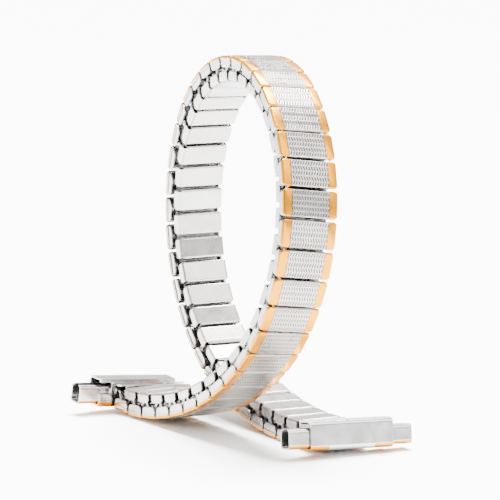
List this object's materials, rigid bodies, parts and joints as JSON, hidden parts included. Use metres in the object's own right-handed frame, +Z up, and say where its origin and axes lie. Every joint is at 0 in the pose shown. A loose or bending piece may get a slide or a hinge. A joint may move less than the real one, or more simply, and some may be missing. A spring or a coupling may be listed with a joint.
{
  "type": "expansion watch band",
  "caption": "Two-tone expansion watch band of hollow sprung links, stood up as a loop, with sliding lug tubes in its two end cases.",
  "frame": {"origin": "middle of the bounding box's underside, on the surface that the looped band rests on", "axes": "+Z up, through the top of the loop; +X across the loop from the left end case to the right one, as seen in the picture; +Y away from the near leg of the loop"},
  "size_m": [0.0376, 0.0264, 0.0392],
  "materials": {
    "link": "polished",
    "joining": "polished",
    "cover": "textured steel with polished gold-coloured edges",
    "case": "polished",
    "tube": "polished",
    "spring": "plain"
  },
  "bodies": {
    "left_end": {"end_case_left": "case", "tube_spring_left": "spring"},
    "right_end": {"end_case_right": "case", "tube_spring_right": "spring", "end_bows_right": "spring"},
    "run_01": {"inner_links_01": "link", "outer_links_01": "link", "cover_plates_01": "cover", "springs_and_bows_01": "spring"},
    "run_02": {"inner_links_02": "link", "outer_links_02": "link", "cover_plates_02": "cover", "springs_and_bows_02": "spring"},
    "run_03": {"inner_links_03": "link", "outer_links_03": "link", "cover_plates_03": "cover", "springs_and_bows_03": "spring"},
    "run_04": {"inner_links_04": "link", "outer_links_04": "link", "cover_plates_04": "cover", "springs_and_bows_04": "spring"},
    "run_05": {"inner_links_05": "link", "outer_links_05": "link", "cover_plates_05": "cover", "springs_and_bows_05": "spring"},
    "run_06": {"inner_links_06": "link", "outer_links_06": "link", "cover_plates_06": "cover", "springs_and_bows_06": "spring"},
    "run_07": {"inner_links_07": "link", "outer_links_07": "link", "cover_plates_07": "cover", "springs_and_bows_07": "spring"},
    "run_08": {"inner_links_08": "link", "outer_links_08": "link", "cover_plates_08": "cover", "springs_and_bows_08": "spring"},
    "run_09": {"inner_links_09": "link", "outer_links_09": "link", "cover_plates_09": "cover", "springs_and_bows_09": "spring"},
    "run_10": {"inner_links_10": "link", "outer_links_10": "link", "cover_plates_10": "cover", "springs_and_bows_10": "spring"},
    "joining_link_01": {"joining_link_01": "joining"},
    "joining_link_02": {"joining_link_02": "joining"},
    "joining_link_03": {"joining_link_03": "joining"},
    "joining_link_04": {"joining_link_04": "joining"},
    "joining_link_05": {"joining_link_05": "joining"},
    "joining_link_06": {"joining_link_06": "joining"},
    "joining_link_07": {"joining_link_07": "joining"},
    "joining_link_08": {"joining_link_08": "joining"},
    "joining_link_09": {"joining_link_09": "joining"},
    "joining_link_10": {"joining_link_10": "joining"},
    "joining_link_11": {"joining_link_11": "joining"},
    "lug_tube_left_a": {"lug_tube_left_a": "tube"},
    "lug_tube_left_b": {"lug_tube_left_b": "tube"},
    "lug_tube_right_a": {"lug_tube_right_a": "tube"},
    "lug_tube_right_b": {"lug_tube_right_b": "tube"}
  },
  "joints": [
    {"name": "stretch_01", "type": "slide", "parent": "joining_link_01", "child": "left_end", "axis": [-0.9781, -0.2009, 0.0547], "range_m": [0, 0.0005], "stiffness_N_per_m": 400, "springref_m": -0.001},
    {"name": "bend_01", "type": "hinge", "parent": "run_01", "child": "joining_link_01", "pos_m": [-0.01177, -0.00554, 0.00165], "axis": [-0.203, 0.9785, -0.037], "range_deg": [-4.69, 4]},
    {"name": "stretch_02", "type": "slide", "parent": "joining_link_02", "child": "run_01", "axis": [-0.9424, -0.1987, -0.2692], "range_m": [0, 0.0005], "stiffness_N_per_m": 400, "springref_m": -0.001},
    {"name": "bend_02", "type": "hinge", "parent": "run_02", "child": "joining_link_02", "pos_m": [-0.00076, -0.00324, 0.00288], "axis": [0.1959, -0.9799, 0.0374], "range_deg": [-4, 4.69]},
    {"name": "stretch_03", "type": "slide", "parent": "joining_link_03", "child": "run_02", "axis": [-0.6859, -0.1806, -0.7049], "range_m": [0, 0.0005], "stiffness_N_per_m": 400, "springref_m": -0.001},
    {"name": "bend_03", "type": "hinge", "parent": "run_03", "child": "joining_link_03", "pos_m": [0.01121, -0.00053, 0.00975], "axis": [-0.1566, 0.9827, -0.0994], "range_deg": [-8.82, 4]},
    {"name": "stretch_04", "type": "slide", "parent": "joining_link_04", "child": "run_03", "axis": [0.0406, -0.1182, -0.9922], "range_m": [0, 0.0005], "stiffness_N_per_m": 400, "springref_m": -0.001},
    {"name": "bend_04", "type": "hinge", "parent": "run_04", "child": "joining_link_04", "pos_m": [0.01624, 0.00165, 0.02246], "axis": [0.0878, -0.9887, 0.1213], "range_deg": [-4, 10.19]},
    {"name": "stretch_05", "type": "slide", "parent": "joining_link_05", "child": "run_04", "axis": [0.8002, -0.0279, -0.5991], "range_m": [0, 0.0005], "stiffness_N_per_m": 400, "springref_m": -0.001},
    {"name": "bend_05", "type": "hinge", "parent": "run_05", "child": "joining_link_05", "pos_m": [0.00984, 0.00267, 0.03459], "axis": [-0.0273, 0.9962, -0.0828], "range_deg": [-10.19, 4]},
    {"name": "stretch_06", "type": "slide", "parent": "run_05", "child": "joining_link_06", "axis": [-0.9752, -0.021, -0.2204], "range_m": [0, 0.0005], "stiffness_N_per_m": 400, "springref_m": -0.001},
    {"name": "bend_06", "type": "hinge", "parent": "joining_link_06", "child": "run_06", "pos_m": [-0.00365, 0.00263, 0.03735], "axis": [-0.0182, 0.9997, -0.0146], "range_deg": [-4, 9.32]},
    {"name": "stretch_07", "type": "slide", "parent": "run_06", "child": "joining_link_07", "axis": [-0.51, -0.0095, -0.8601], "range_m": [0, 0.0005], "stiffness_N_per_m": 400, "springref_m": -0.001},
    {"name": "bend_07", "type": "hinge", "parent": "joining_link_07", "child": "run_07", "pos_m": [-0.01483, 0.00236, 0.02922], "axis": [0.0432, -0.999, -0.0145], "range_deg": [-9.32, 4]},
    {"name": "stretch_08", "type": "slide", "parent": "run_07", "child": "joining_link_08", "axis": [0.2857, 0.0389, -0.9575], "range_m": [0, 0.0005], "stiffness_N_per_m": 400, "springref_m": -0.001},
    {"name": "bend_08", "type": "hinge", "parent": "joining_link_08", "child": "run_08", "pos_m": [-0.01658, 0.00253, 0.01551], "axis": [-0.0814, 0.9965, 0.0162], "range_deg": [-4, 9.82]},
    {"name": "stretch_09", "type": "slide", "parent": "run_08", "child": "joining_link_09", "axis": [0.8718, 0.0898, -0.4815], "range_m": [0, 0.0005], "stiffness_N_per_m": 400, "springref_m": -0.001},
    {"name": "bend_09", "type": "hinge", "parent": "joining_link_09", "child": "run_09", "pos_m": [-0.00769, 0.00348, 0.00493], "axis": [0.1052, -0.9944, 0.005], "range_deg": [-7.97, 4]},
    {"name": "stretch_10", "type": "slide", "parent": "run_09", "child": "joining_link_10", "axis": [0.9846, 0.1045, -0.1401], "range_m": [0, 0.0005], "stiffness_N_per_m": 400, "springref_m": -0.001},
    {"name": "bend_10", "type": "hinge", "parent": "joining_link_10", "child": "run_10", "pos_m": [0.00311, 0.00461, 0.00177], "axis": [-0.1067, 0.9943, -0.0081], "range_deg": [-4, 3.51]},
    {"name": "stretch_11", "type": "slide", "parent": "run_10", "child": "joining_link_11", "axis": [0.9884, 0.1057, 0.1091], "range_m": [0, 0.0005], "stiffness_N_per_m": 400, "springref_m": -0.001},
    {"name": "bend_11", "type": "hinge", "parent": "joining_link_11", "child": "right_end", "pos_m": [0.01438, 0.00581, 0.00159], "axis": [0.1043, -0.9944, 0.0189], "range_deg": [-3.59, 4]},
    {"name": "tube_slide_left_a", "type": "slide", "parent": "left_end", "child": "lug_tube_left_a", "axis": [0.2051, -0.9748, 0.0875], "range_m": [0, 0.0018]},
    {"name": "tube_slide_left_b", "type": "slide", "parent": "left_end", "child": "lug_tube_left_b", "axis": [-0.2051, 0.9748, -0.0875], "range_m": [0, 0.0018]},
    {"name": "tube_slide_right_a", "type": "slide", "parent": "right_end", "child": "lug_tube_right_a", "axis": [-0.1003, 0.9941, -0.0411], "range_m": [0, 0.0018]},
    {"name": "tube_slide_right_b", "type": "slide", "parent": "right_end", "child": "lug_tube_right_b", "axis": [0.1003, -0.9941, 0.0411], "range_m": [0, 0.0018]}
  ],
  "couplings": [
    {"joint": "stretch_01", "follows": "stretch_05", "ratio": 1},
    {"joint": "stretch_02", "follows": "stretch_05", "ratio": 1},
    {"joint": "stretch_03", "follows": "stretch_05", "ratio": 1},
    {"joint": "stretch_04", "follows": "stretch_05", "ratio": 1},
    {"joint": "stretch_06", "follows": "stretch_05", "ratio": 1},
    {"joint": "stretch_07", "follows": "stretch_05", "ratio": 1},
    {"joint": "stretch_08", "follows": "stretch_05", "ratio": 1},
    {"joint": "stretch_09", "follows": "stretch_05", "ratio": 1},
    {"joint": "stretch_10", "follows": "stretch_05", "ratio": 1},
    {"joint": "stretch_11", "follows": "stretch_05", "ratio": 1}
  ]
}
